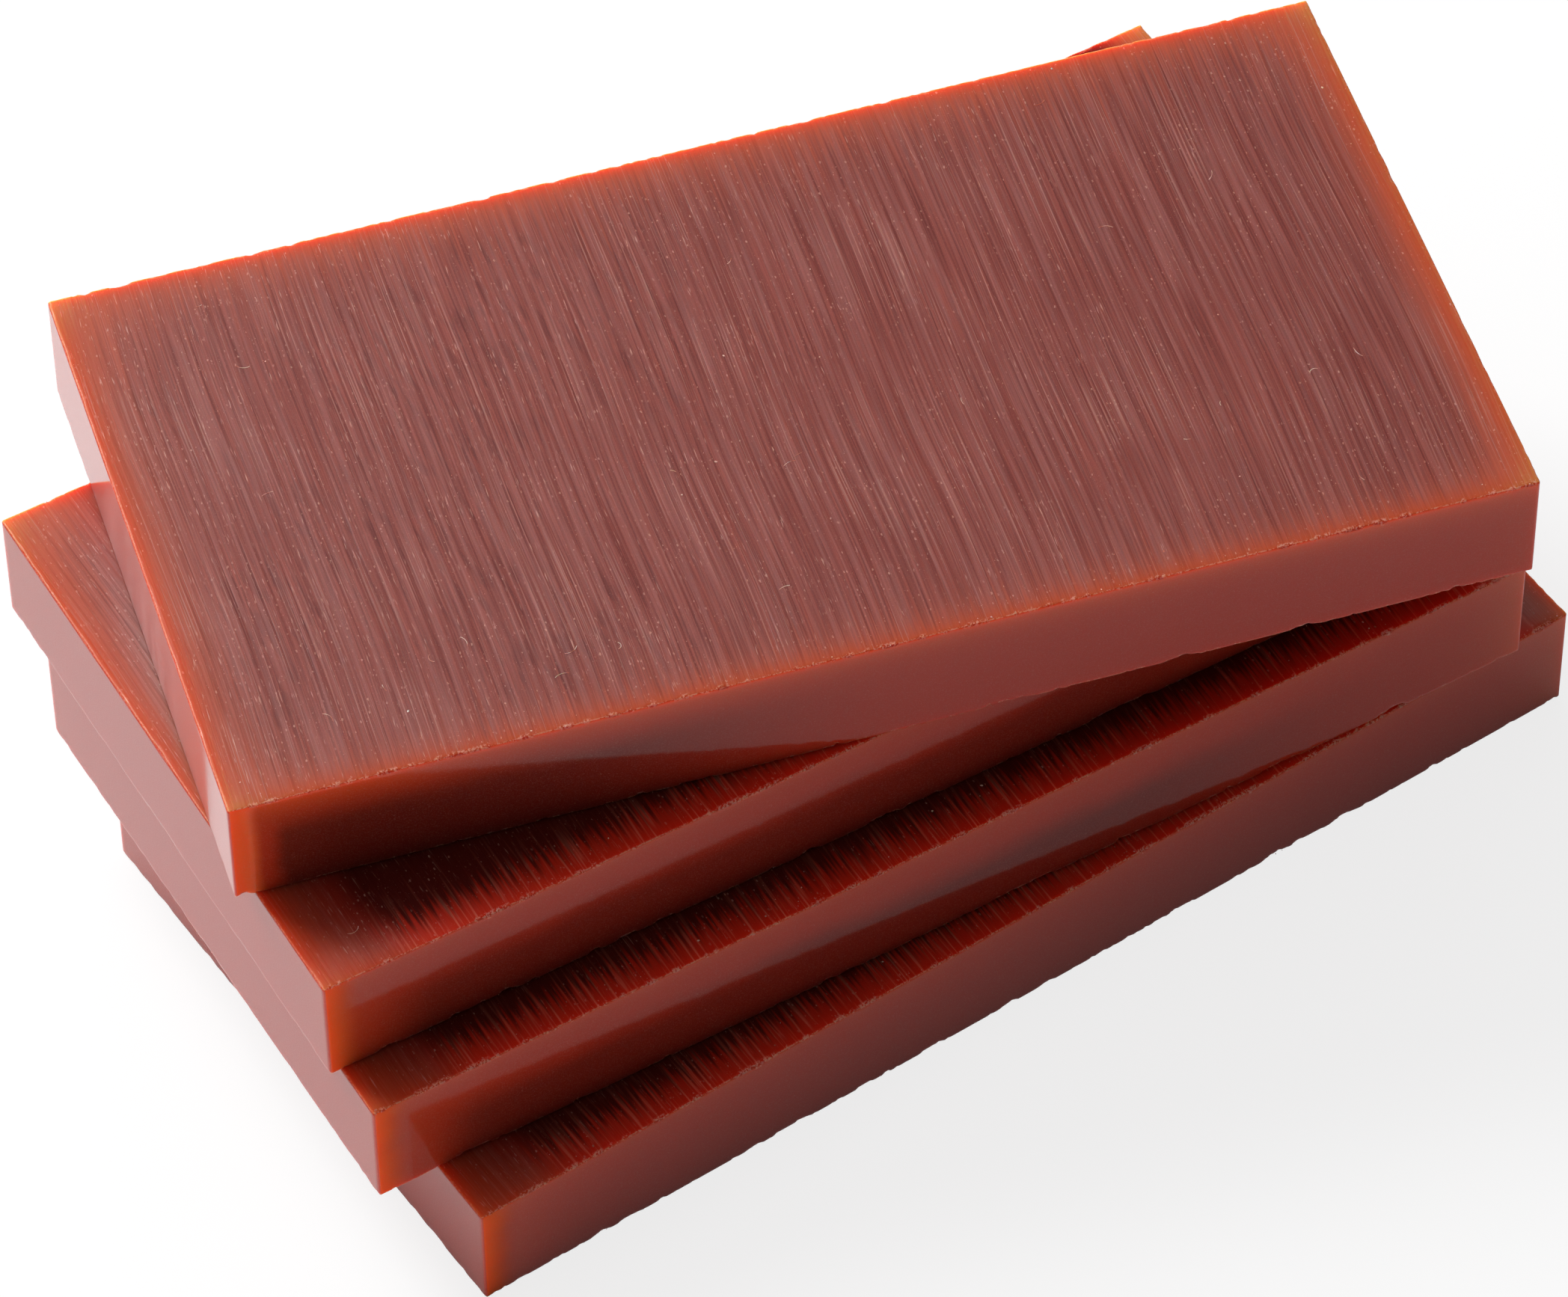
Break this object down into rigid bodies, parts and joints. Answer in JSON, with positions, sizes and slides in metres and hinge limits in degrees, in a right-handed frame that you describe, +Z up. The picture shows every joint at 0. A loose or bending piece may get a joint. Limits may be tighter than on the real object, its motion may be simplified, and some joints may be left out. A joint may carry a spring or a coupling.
{
  "type": "clay bar",
  "caption": "Stack of sawn, translucent red-brown cleaning clay bars that lie loose and slightly fanned, one on another; each bar lifts off to be cut and kneaded.",
  "frame": {"origin": "middle of the bottom bar's underside, on the surface that the stack rests on", "axes": "+X along the bottom bar's length, +Y across it, +Z up through the stack"},
  "size_m": [0.1546, 0.109, 0.0568],
  "materials": {
    "clay": "satin"
  },
  "bodies": {
    "bottom_bar": {"bottom_bar": "clay"},
    "lower_middle_bar": {"lower_middle_bar": "clay"},
    "upper_middle_bar": {"upper_middle_bar": "clay"},
    "top_bar": {"top_bar": "clay"}
  },
  "joints": [
    {"name": "lower_middle_bar_lift", "type": "slide", "parent": "bottom_bar", "child": "lower_middle_bar", "axis": [0, 0, 1], "range_m": [0, 0.04]},
    {"name": "upper_middle_bar_lift", "type": "slide", "parent": "lower_middle_bar", "child": "upper_middle_bar", "axis": [0, 0, 1], "range_m": [0, 0.04]},
    {"name": "top_bar_lift", "type": "slide", "parent": "upper_middle_bar", "child": "top_bar", "axis": [0, 0, 1], "range_m": [0, 0.04]}
  ]
}
